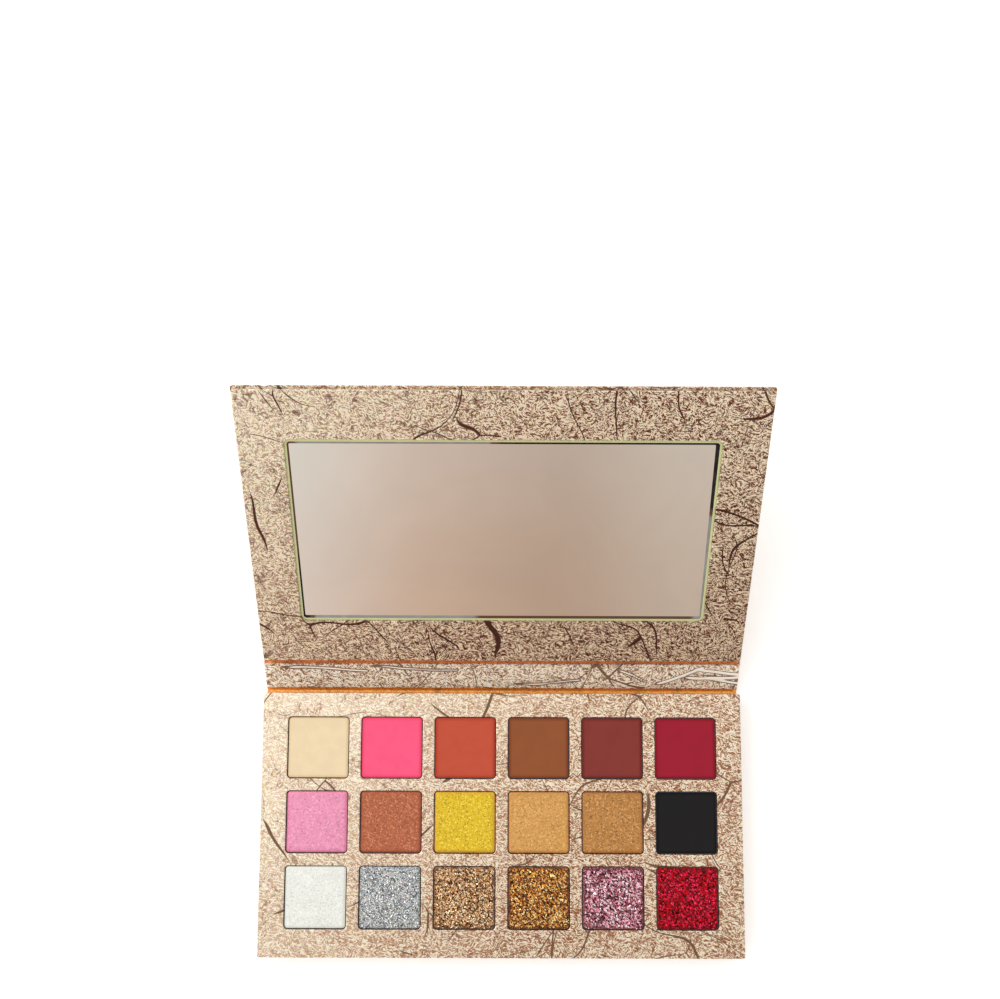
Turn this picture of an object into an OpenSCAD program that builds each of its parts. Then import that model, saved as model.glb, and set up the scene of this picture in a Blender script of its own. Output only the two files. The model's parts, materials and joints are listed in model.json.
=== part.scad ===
// Book-style eyeshadow palette in foil-papered board.
// Origin: centre of the base board's underside. +Z up, +Y towards the spine, millimetres.

/* [Cover] */
// Width of the cover boards
cover_w = 209.5; // [170:0.5:260]
// Depth of the base board, front edge to spine edge
cover_d = 113.4; // [95:0.1:160]
// Thickness of the grey board in the covers and spine
board_t = 1.8; // [1.2:0.1:3]
// Thickness of the foil paper
paper_t = 0.2; // [0.1:0.05:0.4]
// How far the cover boards stand out past the tray at the front and sides
overhang = 1.25; // [0.5:0.05:3]
// Width of the paper turned in round each board's edge
turn_in = 14; // [6:1:20]
// Corner radius of the cover boards
cover_r = 1; // [0.5:0.1:3]

/* [Tray] */
// Height of the tray above the base cover
tray_h = 8.8; // [7.4:0.1:14]
// Thickness of the tray's floor board
floor_t = 3.2; // [1:0.1:3.6]
// Thickness of the tray's face card
face_t = 1; // [0.6:0.1:1.6]
// Corner radius of the tray
tray_r = 0.8; // [0.4:0.1:3]

/* [Pans] */
// Columns of pans
columns = 6; // [2:1:6]
// Rows of pans
rows = 3; // [1:1:3]
// Margin from the tray's side to the first column of openings
side_margin = 10.8; // [6:0.1:20]
// Margin from the tray's spine edge to the back row of openings
back_margin = 10.3; // [6:0.01:20]
// Margin from the tray's front edge to the front row of openings
front_margin = 11.73; // [9:0.01:20]
// Width of the bar between two openings
bar_w = 5.16; // [3:0.01:8]
// Corner radius of a pan
pan_r = 1.4; // [0.8:0.1:4]
// Thickness of a pan's sheet metal
pan_t = 0.3; // [0.2:0.05:0.6]
// Gap between a pan and the papered edge of its opening
pan_gap = 0.3; // [0.15:0.05:0.8]
// How far a pan's rim sits below the tray's face
rim_drop = 0.8; // [0.3:0.1:1.2]
// Depth of the powder's bevelled edge below the pan's rim
powder_edge = 0.45; // [0.1:0.05:1]
// Width of the powder's bevelled edge
powder_bevel = 1.3; // [0.5:0.1:3]
// Thickness of the adhesive pad under each pan
pad_t = 0.2; // [0.1:0.05:0.5]
// How far each adhesive pad stops short of its pan's edge
pad_inset = 3; // [1:0.5:6]
// How far the foil paper is folded down below a pan's rim
fold_past_rim = 0.6; // [0.3:0.1:1.5]

/* [Mirror lid] */
// Gap between the mirror frame and the tray when the lid is shut
shut_gap = 0.3; // [0.1:0.05:1]
// Thickness of the mirror frame with its paper
frame_t = 3.5; // [3.2:0.1:6]
// Width of the mirror frame's two side bars
frame_side = 18; // [10:0.5:30]
// Width of the mirror frame's bars at the hinge and at the free edge
frame_end = 18.4; // [12:0.1:30]
// Corner radius of the mirror's opening
mirror_r = 2.3; // [1:0.1:6]
// How far the glass reaches under the frame on each side
mirror_lap = 3; // [2:0.5:5]
// Thickness of the mirror glass
glass_t = 1.8; // [1:0.1:2]
// Thickness of the tape behind the mirror
tape_t = 0.3; // [0.1:0.05:0.4]
// Gap round the glass in its recess
glass_gap = 0.3; // [0.1:0.05:0.6]
// How far the tape stops short of the glass's edge
tape_inset = 2; // [1:0.5:6]

/* [Hinges] */
// Gap from each hinge line to the boards' edges
hinge_gap = 1.5; // [1.3:0.1:3]
// Thickness of the two papers glued together at a hinge
crease_t = 0.4; // [0.2:0.05:0.8]
// Clearance between a hinge paper's moving edge and the board beside it
crease_clear = 0.05; // [0.02:0.01:0.2]
// Slope of the spine above the table, open pose
spine_angle = 26; // [0:1:90]
// Slope of the lid above the table, open pose
lid_angle = 28; // [0:1:120]

/* [Magnets] */
// Diameter of the closing magnets
magnet_d = 7; // [4:0.5:8]
// Thickness of the closing magnets
magnet_t = 1.5; // [1:0.1:2]
// Distance of each magnet from the middle of the palette
magnet_x = 62; // [30:1:80]
// Gap round a magnet in its pocket
magnet_gap = 0.1; // [0.05:0.05:0.3]

/* [Hidden] */
POWDERS = [
    ["cream", "#f3d9b3"], ["hot_pink", "#fb6085"], ["brick", "#c6563f"],
    ["brown", "#955635"], ["maroon", "#893c36"], ["crimson", "#a02335"],
    ["rose_shimmer", "#ed9bb7"], ["copper_shimmer", "#b86d4e"], ["gold_shimmer", "#e2c035"],
    ["champagne_shimmer", "#d59e5d"], ["bronze_shimmer", "#bb864d"], ["black", "#252324"],
    ["pearl", "#ecebe1"], ["silver_glitter", "#adaeab"], ["sand_glitter", "#ac8662"],
    ["amber_glitter", "#a17040"], ["mauve_glitter", "#a5757d"], ["red_glitter", "#991a27"]
];
pans_used = rows * columns;

foil = "#ddc3a8";
foil_shade = "#c8a98c";
grey_board = "#8f8a82";
steel = "#b9bcc0";
tin = "#c9ccd0";
clear_glue = "#e8e2d4";
silvered = "#cbb8a4";

corner_steps = 4;
cover_t = board_t + 2 * paper_t;
tray_w = cover_w - 2 * overhang;
tray_d = cover_d - overhang;
tray_back = cover_d / 2;
tray_front = tray_back - tray_d;
tray_mid = (tray_back + tray_front) / 2;
tray_top = cover_t + tray_h;
floor_top = cover_t + floor_t;
face_bottom = tray_top - paper_t - face_t;
opening_w = (tray_w - 2 * side_margin - (columns - 1) * bar_w) / columns;
opening_d = (tray_d - back_margin - front_margin - (rows - 1) * bar_w) / rows;
opening_r = pan_r + pan_gap;
pan_w = opening_w - 2 * pan_gap;
pan_d = opening_d - 2 * pan_gap;
well_r = opening_r + paper_t;
pan_bottom = floor_top + pad_t;
pan_rim = tray_top - rim_drop;
fold_down = rim_drop + fold_past_rim;
spine_l = tray_top + shut_gap + frame_t;
spine_strip = spine_l - 2 * hinge_gap;
hinge_y = cover_d / 2 + hinge_gap;
hinge_z = cover_t / 2;
lid_y = hinge_y + spine_l * cos(spine_angle);
lid_z = hinge_z + spine_l * sin(spine_angle);
lid_mid = hinge_gap + cover_d / 2;
frame_mid = hinge_gap + tray_d / 2;
lid_face = cover_t / 2 + frame_t;
mirror_w = tray_w - 2 * frame_side;
mirror_l = tray_d - 2 * frame_end;
glass_w = mirror_w + 2 * mirror_lap;
glass_l = mirror_l + 2 * mirror_lap;
tape_top = cover_t / 2 + tape_t;
glass_top = tape_top + glass_t;
magnet_y = tray_front + front_margin / 2;
magnet_v = hinge_gap + tray_d - front_margin / 2;

// Outline of a rectangle with round corners, centred on [cx, cy].
function round_rect(w, d, r, cx = 0, cy = 0) = [
    for (q = [0 : 3])
        for (s = [0 : corner_steps])
            let (
                turn = 90 * q + 90 * s / corner_steps,
                sx = (q == 0 || q == 3) ? 1 : -1,
                sy = (q < 2) ? 1 : -1
            )
            [cx + sx * (w / 2 - r) + r * cos(turn), cy + sy * (d / 2 - r) + r * sin(turn)]
];

// Upright slab with round corners, from z0 to z1.
module slab(w, d, r, z0, z1, cx = 0, cy = 0) {
    translate([0, 0, z0])
        linear_extrude(z1 - z0)
            polygon(round_rect(w, d, r, cx, cy));
}

// Paper wrapped round a board of w by d: one broad side, all edges and the turned-in margin.
module board_wrap(w, d, r, cy) {
    bare_w = w - 2 * paper_t;
    bare_d = d - 2 * paper_t;
    bare_r = r - paper_t;
    difference() {
        slab(w, d, r, 0, cover_t, 0, cy);
        slab(bare_w, bare_d, bare_r, paper_t, cover_t - paper_t, 0, cy);
        slab(w - 2 * turn_in, d - 2 * turn_in, r, cover_t - 2 * paper_t, cover_t + 1, 0, cy);
    }
}

// Bare board inside a wrap of w by d.
module board_core(w, d, r, cy) {
    slab(w - 2 * paper_t, d - 2 * paper_t, r - paper_t, paper_t, cover_t - paper_t, 0, cy);
}

// Bare well in the boards, which the folded paper lines to the size of the opening.
module well_slab(z0, z1) {
    slab(opening_w + 2 * paper_t, opening_d + 2 * paper_t, well_r, z0, z1);
}

// Bare block of the tray's outline, inside its paper.
module tray_slab(z0, z1) {
    slab(tray_w - 2 * paper_t, tray_d - 2 * paper_t, tray_r - paper_t, z0, z1, 0, tray_mid);
}

// Places children at every pan's centre.
module at_pans() {
    for (i = [0 : pans_used - 1])
        translate(pan_place(i))
            children();
}

function pan_place(i) = [
    (i % columns - (columns - 1) / 2) * (opening_w + bar_w),
    tray_back - back_margin - opening_d / 2 - floor(i / columns) * (opening_d + bar_w),
    0
];

module at_magnets(y) {
    for (side = [-1, 1])
        translate([side * magnet_x, y, 0])
            children();
}

// Local frames of the two swinging parts: Y runs along the board, Z out of its inner face.
module spine_place() {
    translate([0, hinge_y, hinge_z])
        rotate([spine_angle, 0, 0])
            children();
}

module lid_place() {
    translate([0, lid_y, lid_z])
        rotate([lid_angle, 0, 0])
            children();
}

module base_board() {
    color(grey_board)
        board_core(cover_w, cover_d, cover_r, 0);
}

module base_wrap() {
    color(foil)
        board_wrap(cover_w, cover_d, cover_r, 0);
}

module base_glue() {
    color(clear_glue)
        slab(cover_w - 2 * turn_in, cover_d - 2 * turn_in, cover_r, cover_t - paper_t, cover_t);
}

module tray_floor() {
    color(grey_board)
        tray_slab(cover_t, floor_top);
}

module tray_grid() {
    color(grey_board)
        difference() {
            tray_slab(floor_top, face_bottom);
            at_pans()
                well_slab(floor_top - 1, face_bottom + 1);
            at_magnets(magnet_y)
                translate([0, 0, face_bottom - magnet_t])
                    cylinder(d = magnet_d + 2 * magnet_gap, h = magnet_t + 1, $fn = 48);
        }
}

module tray_face() {
    color(grey_board)
        difference() {
            tray_slab(face_bottom, tray_top - paper_t);
            at_pans()
                well_slab(face_bottom - 1, tray_top);
        }
}

// Foil paper over the tray's face and sides, folded down into every opening.
module tray_wrap() {
    color(foil)
        difference() {
            union() {
                difference() {
                    slab(tray_w, tray_d, tray_r, cover_t, tray_top, 0, tray_mid);
                    tray_slab(cover_t - 1, tray_top - paper_t);
                }
                at_pans()
                    well_slab(tray_top - fold_down, tray_top - paper_t / 2);
            }
            at_pans()
                slab(opening_w, opening_d, opening_r, cover_t, tray_top + 1);
        }
}

module tray_magnets() {
    color(steel)
        at_magnets(magnet_y)
            translate([0, 0, face_bottom - magnet_t])
                cylinder(d = magnet_d, h = magnet_t, $fn = 48);
}

module pan_pads() {
    color(clear_glue)
        at_pans()
            slab(pan_w - 2 * pad_inset, pan_d - 2 * pad_inset, pan_r, floor_top, pan_bottom);
}

module pan(i) {
    color(tin)
        translate(pan_place(i))
            difference() {
                slab(pan_w, pan_d, pan_r, pan_bottom, pan_rim);
                pan_fill(pan_rim + 1);
            }
}

// Inside of a pan, from its floor up to z1.
module pan_fill(z1) {
    slab(pan_w - 2 * pan_t, pan_d - 2 * pan_t, pan_r - pan_t, pan_bottom + pan_t, z1);
}

// Pressed powder: fills the pan and rises over a bevelled edge to the height of the rim.
module powder(i) {
    fill_w = pan_w - 2 * pan_t;
    fill_d = pan_d - 2 * pan_t;
    color(POWDERS[i][1])
        translate(pan_place(i))
            intersection() {
                pan_fill(pan_rim);
                rotate([90, 0, 0])
                    linear_extrude(fill_d, center = true)
                        polygon(powder_section(fill_w / 2));
                rotate([90, 0, 90])
                    linear_extrude(fill_w, center = true)
                        polygon(powder_section(fill_d / 2));
            }
}

// Cross-section of the powder: upright sides, bevelled shoulders and a level top.
function powder_section(half) = [
    [-half, pan_bottom + pan_t], [half, pan_bottom + pan_t], [half, pan_rim - powder_edge],
    [half - powder_bevel, pan_rim], [powder_bevel - half, pan_rim], [-half, pan_rim - powder_edge]
];

module spine_board() {
    color(grey_board)
        spine_place()
            translate([0, 0, -cover_t / 2])
                board_core(cover_w, spine_strip, cover_r, spine_l / 2);
}

// Foil paper over the spine's outer side, edges and ends.
module spine_wrap() {
    color(foil)
        spine_place()
            translate([0, 0, -cover_t / 2])
                difference() {
                    slab(cover_w, spine_strip, cover_r, 0, cover_t - paper_t, 0, spine_l / 2);
                    slab(cover_w - 2 * paper_t, spine_strip - 2 * paper_t, cover_r - paper_t,
                        paper_t, cover_t, 0, spine_l / 2);
                }
}

module spine_liner() {
    color(foil)
        spine_place()
            slab(cover_w, spine_strip, cover_r, cover_t / 2 - paper_t, cover_t / 2, 0, spine_l / 2);
}

// Flexible papers joining two boards across a hinge line. One end meets the spine's edge face
// to face, the other is rounded about the hinge line so that it stays clear as the hinge turns.
module crease_strip() {
    strip_w = cover_w - 2 * cover_r;
    translate([-strip_w / 2, 0, -crease_t / 2])
        cube([strip_w, hinge_gap, crease_t]);
    intersection() {
        translate([-strip_w / 2, -hinge_gap, -crease_t / 2])
            cube([strip_w, 2 * hinge_gap, crease_t]);
        rotate([0, 90, 0])
            cylinder(r = hinge_gap - crease_clear, h = cover_w, center = true, $fn = 48);
    }
}

module base_crease() {
    color(foil_shade)
        spine_place()
            crease_strip();
}

module lid_crease() {
    color(foil_shade)
        spine_place()
            translate([0, spine_l, 0])
                rotate([0, 0, 180])
                    crease_strip();
}

module lid_board() {
    color(grey_board)
        lid_place()
            translate([0, 0, -cover_t / 2])
                board_core(cover_w, cover_d, cover_r, lid_mid);
}

module lid_wrap() {
    color(foil)
        lid_place()
            translate([0, 0, -cover_t / 2])
                board_wrap(cover_w, cover_d, cover_r, lid_mid);
}

module lid_glue() {
    color(clear_glue)
        lid_place()
            slab(cover_w - 2 * turn_in, cover_d - 2 * turn_in, cover_r,
                cover_t / 2 - paper_t, cover_t / 2, 0, lid_mid);
}

module mirror_frame() {
    recess_w = glass_w + 2 * glass_gap;
    recess_l = glass_l + 2 * glass_gap;
    color(grey_board)
        lid_place()
            difference() {
                slab(tray_w - 2 * paper_t, tray_d - 2 * paper_t, tray_r - paper_t,
                    cover_t / 2, lid_face - paper_t, 0, frame_mid);
                slab(recess_w, recess_l, mirror_r, 0, glass_top, 0, frame_mid);
                slab(mirror_w + 2 * paper_t, mirror_l + 2 * paper_t, mirror_r + paper_t,
                    0, lid_face + 1, 0, frame_mid);
                at_magnets(magnet_v)
                    translate([0, 0, lid_face - paper_t - magnet_t])
                        cylinder(d = magnet_d + 2 * magnet_gap, h = magnet_t + 1, $fn = 48);
            }
}

// Foil paper over the mirror frame's face and outer sides, folded down to the glass.
module frame_wrap() {
    color(foil)
        lid_place()
            difference() {
                union() {
                    difference() {
                        slab(tray_w, tray_d, tray_r, cover_t / 2, lid_face, 0, frame_mid);
                        slab(tray_w - 2 * paper_t, tray_d - 2 * paper_t, tray_r - paper_t,
                            0, lid_face - paper_t, 0, frame_mid);
                    }
                    slab(mirror_w + 2 * paper_t, mirror_l + 2 * paper_t, mirror_r + paper_t,
                        glass_top, lid_face - paper_t / 2, 0, frame_mid);
                }
                slab(mirror_w, mirror_l, mirror_r, 0, lid_face + 1, 0, frame_mid);
            }
}

module mirror() {
    color(silvered)
        lid_place()
            slab(glass_w, glass_l, mirror_r, tape_top, glass_top, 0, frame_mid);
}

module mirror_tape() {
    color(clear_glue)
        lid_place()
            slab(glass_w - 2 * tape_inset, glass_l - 2 * tape_inset, mirror_r,
                cover_t / 2, tape_top, 0, frame_mid);
}

module lid_magnets() {
    color(steel)
        lid_place()
            at_magnets(magnet_v)
                translate([0, 0, lid_face - paper_t - magnet_t])
                    cylinder(d = magnet_d, h = magnet_t, $fn = 48);
}

base_board();
base_wrap();
base_glue();
tray_floor();
tray_grid();
tray_face();
tray_wrap();
tray_magnets();
pan_pads();
for (i = [0 : pans_used - 1]) {
    pan(i);
    powder(i);
}
spine_board();
spine_wrap();
spine_liner();
base_crease();
lid_crease();
lid_board();
lid_wrap();
lid_glue();
mirror_frame();
frame_wrap();
mirror();
mirror_tape();
lid_magnets();
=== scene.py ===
"""Eyeshadow palette in foil-papered board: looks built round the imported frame."""

import json
import math
import random

import bmesh
import bpy
from bpy.props import FloatProperty, FloatVectorProperty, PointerProperty
from mathutils import Matrix, Vector, noise


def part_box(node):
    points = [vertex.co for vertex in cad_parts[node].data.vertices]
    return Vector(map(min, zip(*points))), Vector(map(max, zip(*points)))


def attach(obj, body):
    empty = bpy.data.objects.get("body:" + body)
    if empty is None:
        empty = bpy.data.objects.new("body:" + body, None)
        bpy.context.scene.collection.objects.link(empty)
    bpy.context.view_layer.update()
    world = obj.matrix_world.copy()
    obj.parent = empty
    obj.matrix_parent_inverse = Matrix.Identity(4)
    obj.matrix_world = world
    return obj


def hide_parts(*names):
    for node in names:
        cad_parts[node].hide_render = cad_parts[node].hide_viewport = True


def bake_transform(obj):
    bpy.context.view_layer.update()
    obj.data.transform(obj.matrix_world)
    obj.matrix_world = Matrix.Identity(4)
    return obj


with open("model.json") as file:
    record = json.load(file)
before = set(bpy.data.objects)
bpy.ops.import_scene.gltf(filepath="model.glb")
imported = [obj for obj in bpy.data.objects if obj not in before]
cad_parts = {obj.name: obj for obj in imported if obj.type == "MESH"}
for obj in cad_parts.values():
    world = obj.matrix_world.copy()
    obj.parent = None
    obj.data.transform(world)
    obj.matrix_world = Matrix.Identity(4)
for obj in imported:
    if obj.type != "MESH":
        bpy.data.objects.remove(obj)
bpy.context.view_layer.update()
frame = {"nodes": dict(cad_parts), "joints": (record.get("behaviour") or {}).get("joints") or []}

bl_info = {
    "name": "Eyeshadow Palette",
    "version": (1, 0, 0),
    "blender": (4, 5, 0),
    "location": "3D View > Sidebar > Palette",
    "description": "Foil paper, powders, mirror and stage for a book-style eyeshadow palette",
    "category": "Object",
}

MM = 0.001
WHITE = (1.0, 1.0, 1.0)
MID_GREY = (0.5, 0.5, 0.5)

# Shade, finish, and colour in sRGB, in the order of the pans: left to right, back row first.
SHADES = (
    ("cream", "matte", (234, 214, 178)),
    ("hot_pink", "matte", (247, 91, 132)),
    ("brick", "matte", (191, 81, 58)),
    ("brown", "matte", (143, 82, 47)),
    ("maroon", "matte", (131, 54, 48)),
    ("crimson", "matte", (154, 25, 47)),
    ("rose_shimmer", "shimmer", (232, 149, 182)),
    ("copper_shimmer", "shimmer", (179, 101, 66)),
    ("gold_shimmer", "shimmer", (225, 191, 34)),
    ("champagne_shimmer", "shimmer", (212, 159, 87)),
    ("bronze_shimmer", "shimmer", (187, 132, 68)),
    ("black", "matte", (23, 22, 24)),
    ("pearl", "pearl", (230, 234, 228)),
    ("silver_glitter", "glitter", (228, 234, 233)),
    ("sand_glitter", "glitter", (216, 155, 105)),
    ("amber_glitter", "glitter", (190, 115, 61)),
    ("mauve_glitter", "glitter", (194, 114, 125)),
    ("red_glitter", "glitter", (186, 16, 28)),
)

# How strongly the grain of a shimmer shows.
GRAIN_CONTRAST = {"rose_shimmer": 1.0, "copper_shimmer": 1.45, "gold_shimmer": 1.4, "champagne_shimmer": 1.15,
                  "bronze_shimmer": 1.65, "pearl": 1.1}

# Glitter: dark tone of painted shade, bright and spark tones of painted glint, in sRGB, flake length in mm,
# flakes per pan, share of rainbow hue.
GLITTERS = {
    "silver_glitter": ((76, 82, 92), (228, 234, 234), (255, 255, 255), 0.74, 4800, 0.55),
    "sand_glitter": ((26, 12, 4), (255, 206, 146), (255, 240, 205), 1.15, 2700, 0.1),
    "amber_glitter": ((32, 10, 0), (248, 166, 56), (255, 230, 160), 1.18, 2600, 0.08),
    "mauve_glitter": ((38, 6, 20), (252, 160, 188), (255, 236, 246), 1.4, 2200, 0.1),
    "red_glitter": ((58, 0, 5), (240, 10, 34), (255, 60, 108), 1.25, 2600, 0.0),
}

# Layers of the foil's embossed strokes: turn, shift, length of a stroke for its width, and scale.
STROKE_LAYERS = ((0.70, 0.0, 4.4, 1800), (2.30, 0.31, 4.0, 1950), (1.40, 0.73, 4.8, 1700))

# Sets of long wrinkles in the foil: scale, width in mm, turn, and the level above which they show.
WRINKLE_SETS = ((24, 0.40, 0.4, 0.43), (31, 0.32, 1.5, 0.44), (27, 0.42, 2.4, 0.46), (19, 0.50, 0.9, 0.50))

# Folds in the spine's inner paper: start and end along the spine, start and end across it, height, in mm.
SPINE_FOLDS = (
    (67, 88, 4.6, 11.0, 0.18), (84, 104.5, 10.4, 9.8, 0.17), (79, 104.5, 8.0, 7.4, 0.16),
    (90, 104.5, 6.0, 5.8, 0.12), (50, 62, 10.8, 5.0, 0.10), (-100, -60, 11.0, 9.6, 0.09),
    (-60, -20, 12.2, 11.2, 0.08), (4, 34, 4.6, 5.4, 0.08),
)
# Rise at which a fold has its full tone in the fold attribute, from which the spine's painted shade and
# painted highlight are drawn.
FOLD_RISE = 0.16 * MM

# Crumbs beside the gold pan: place along its width as a share, distance in mm from their row, radius in mm.
CRUMBS = ((0.68, 0.0, 0.34), (0.72, -0.4, 0.2), (0.12, 0.1, 0.2), (0.3, 0.2, 0.14),
          (0.66, 0.5, 0.18), (0.86, 0.2, 0.12))

# How far the tray's paper is folded down into an opening, and the radius of the tray's corners.
OPENING_FOLD = 1.4 * MM
TRAY_CORNER = 0.8 * MM

# How far the frame's paper laps over the glass.
MIRROR_LAP = Vector((3 * MM, 3 * MM, 0))

# Radius of a powder's corners, and of the corners of the area that glitter flakes cover.
POWDER_CORNER = 1.25 * MM
FLAKE_CORNER = 1.0 * MM

# A flake's outline, as shares of its length and its width.
FLAKE_OUTLINE = ((-0.5, -0.2), (0.0, -0.5), (0.5, -0.1), (0.1, 0.5))

# Lamps: name, place, what it points at, size, power and colour.
LAMPS = (
    ("key", (-0.75, 0.55, 0.9), (0, 0.05, 0), (0.6, 0.6), 2.8, (1.0, 0.985, 0.96)),
    ("fill", (0.8, 0.5, 0.8), (0, 0.05, 0), (0.8, 0.8), 0.85, (1.0, 0.97, 0.94)),
    ("front", (-0.3, -0.95, 0.27), (0, 0.08, 0), (0.6, 0.4), 0.9, (1.0, 0.985, 0.96)),
)


def srgb(red, green, blue):
    """Linear colour from 0-255 sRGB values."""
    parts = []
    for value in (red, green, blue):
        value /= 255
        parts.append(value / 12.92 if value <= 0.04045 else ((value + 0.055) / 1.055) ** 2.4)
    return tuple(parts)


# Colour of the gold shimmer's shoulder.
GOLD_SHOULDER = srgb(214, 156, 40)


# --- Places: the tilted frames of the spine and the lid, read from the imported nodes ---

def joint_place(joint_name):
    """Where a joint is, in the part's frame."""
    for joint in frame["joints"]:
        if joint["name"] == joint_name:
            return Vector(joint["pos_m"])
    raise RuntimeError(f"no joint named {joint_name}")


def slope_of(node):
    """Slope of a flat node about X, from the normal of its largest face that looks up."""
    best = max(
        (p for p in frame["nodes"][node].data.polygons if p.normal.z > 0.05),
        key=lambda p: p.area,
    )
    return math.atan2(-best.normal.y, best.normal.z)


SPINE_SLOPE = slope_of("spine_liner")
LID_SLOPE = slope_of("mirror")
BASE_PLACE = Matrix.Identity(4)
SPINE_PLACE = Matrix.Translation(joint_place("spine_hinge")) @ Matrix.Rotation(SPINE_SLOPE, 4, "X")
LID_PLACE = Matrix.Translation(joint_place("lid_hinge")) @ Matrix.Rotation(LID_SLOPE, 4, "X")


def local_box(node, place):
    """Lowest and highest corner of a node in the frame of a tilted board."""
    back = place.inverted()
    points = [back @ v.co for v in frame["nodes"][node].data.vertices]
    low = Vector([min(p[i] for p in points) for i in range(3)])
    high = Vector([max(p[i] for p in points) for i in range(3)])
    return low, high


# --- Node and mesh helpers ---

class Nodes:
    """Short calls that add shader nodes to a tree and give back the socket that comes out."""

    def __init__(self, tree, coords):
        self.tree = tree
        self.tree.nodes.clear()
        self.coords = self.add("TexCoord", {}).outputs[coords]

    def add(self, kind, inputs, **settings):
        """Adds a node, sets it up, and links or sets the inputs that aren't None."""
        node = self.tree.nodes.new(f"ShaderNode{kind}")
        for key, value in settings.items():
            setattr(node, key, value)
        for key, value in inputs.items():
            if value is not None:
                self.put(node.inputs[key], value)
        return node

    def put(self, socket, value):
        """Links a socket, or sets it when value is a constant."""
        if isinstance(value, bpy.types.NodeSocket):
            self.tree.links.new(value, socket)
        else:
            socket.default_value = value

    def math(self, operation, a, b=None, clamp=False):
        return self.add("Math", {0: a, 1: b}, operation=operation, use_clamp=clamp).outputs[0]

    def plus(self, a, b):
        return self.math("ADD", a, b)

    def minus(self, a, b):
        return self.math("SUBTRACT", a, b)

    def times(self, a, b):
        return self.math("MULTIPLY", a, b)

    def vector(self, operation, a, b=None, scale=None):
        node = self.add("VectorMath", {0: a, 1: b, "Scale": scale}, operation=operation)
        return node.outputs["Value" if operation == "DOT_PRODUCT" else "Vector"]

    def mapped(self, location=(0, 0, 0), turn=(0, 0, 0), scale=(1, 1, 1), vector=None):
        inputs = {"Vector": vector or self.coords, "Location": location, "Rotation": turn, "Scale": scale}
        return self.add("Mapping", inputs, vector_type="TEXTURE").outputs[0]

    def noise(self, scale, detail=2.0, distortion=0.0, vector=None, roughness=0.5, colour=False):
        inputs = {"Vector": vector or self.coords, "Scale": scale, "Detail": detail,
                  "Roughness": roughness, "Distortion": distortion}
        return self.add("TexNoise", inputs).outputs["Color" if colour else "Fac"]

    def cells(self, scale, vector=None, output="Color", feature="F1", flat=False):
        node = self.add("TexVoronoi", {"Vector": vector or self.coords, "Scale": scale},
                        feature=feature, voronoi_dimensions="2D" if flat else "3D")
        return node.outputs[output]

    def span(self, value, low, high, to_low=0.0, to_high=1.0, smooth=True):
        """Carries the range from low to high over to the range from to_low to to_high."""
        inputs = {"Value": value, "From Min": low, "From Max": high, "To Min": to_low, "To Max": to_high}
        kind = "SMOOTHSTEP" if smooth else "LINEAR"
        return self.add("MapRange", inputs, interpolation_type=kind).outputs["Result"]

    def mix(self, factor, a, b, blend="MIX"):
        inputs = {0: factor, 6: rgba(a), 7: rgba(b)}
        return self.add("Mix", inputs, data_type="RGBA", blend_type=blend).outputs[2]

    def blend_value(self, factor, a, b):
        return self.add("Mix", {0: factor, 2: a, 3: b}, data_type="FLOAT").outputs[0]

    def part(self, vector, axis):
        return self.add("SeparateXYZ", {0: vector}).outputs[axis]

    def attribute(self, name, output="Fac"):
        return self.add("Attribute", {}, attribute_name=name).outputs[output]


class Finish(Nodes):
    """A material being built round one Principled shader."""

    def __init__(self, name, **values):
        self.material = bpy.data.materials.new(name)
        self.material.use_nodes = True
        super().__init__(self.material.node_tree, "Object")
        inputs = {key.replace("_", " "): value for key, value in values.items()}
        self.shader = self.add("BsdfPrincipled", inputs)
        self.add("OutputMaterial", {"Surface": self.shader.outputs["BSDF"]})

    def set(self, key, value):
        self.put(self.shader.inputs[key], value)

    def bump(self, height, distance, strength=1.0):
        node = self.add("Bump", {"Strength": strength, "Distance": distance, "Height": height})
        self.set("Normal", node.outputs[0])


def rgba(colour):
    """A colour socket takes four numbers; a socket passes through."""
    if isinstance(colour, bpy.types.NodeSocket) or len(colour) == 4:
        return colour
    return (*colour, 1.0)


def toned(colour, factor):
    return tuple(min(c * factor, 1.0) for c in colour)


def add_object(name, data):
    """Adds an object to the scene."""
    made = bpy.data.objects.new(name, data)
    bpy.context.scene.collection.objects.link(made)
    return made


def finish_mesh(name, bm, place=BASE_PLACE, smooth=True):
    """Turns a bmesh, built in the frame `place`, into an object at the origin."""
    bmesh.ops.transform(bm, matrix=place, verts=bm.verts)
    mesh = bpy.data.meshes.new(name)
    bm.to_mesh(mesh)
    bm.free()
    for polygon in mesh.polygons:
        polygon.use_smooth = smooth
    return add_object(name, mesh)


def crisp(piece, angle=40.0):
    """Keeps flat faces flat beside small rounded edges."""
    piece.data.set_sharp_from_angle(angle=math.radians(angle))
    weighted = piece.modifiers.new("Flat faces", "WEIGHTED_NORMAL")
    weighted.keep_sharp = True
    weighted.weight = 80


def paper_shell(piece, thickness):
    """Gives a sheet its thickness, inwards."""
    shell = piece.modifiers.new("Paper", "SOLIDIFY")
    shell.thickness = thickness
    shell.offset = -1.0
    shell.use_even_offset = True
    shell.use_rim = True


def block(bm, low, high):
    """Closed box between two corners."""
    made = bmesh.ops.create_cube(bm, size=1.0)
    size = high - low
    bmesh.ops.scale(bm, vec=size, verts=made["verts"])
    bmesh.ops.translate(bm, vec=(low + high) / 2, verts=made["verts"])
    return made["verts"]


def upright_edges(bm):
    return [e for e in bm.edges if is_upright(e)]


def is_upright(edge):
    a, b = (v.co for v in edge.verts)
    return (a.xy - b.xy).length < 1e-7 and abs(a.z - b.z) > 1e-6


def new_verts(grown):
    """The vertices in what an extrude gives back."""
    return [g for g in grown["geom"] if isinstance(g, bmesh.types.BMVert)]


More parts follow.
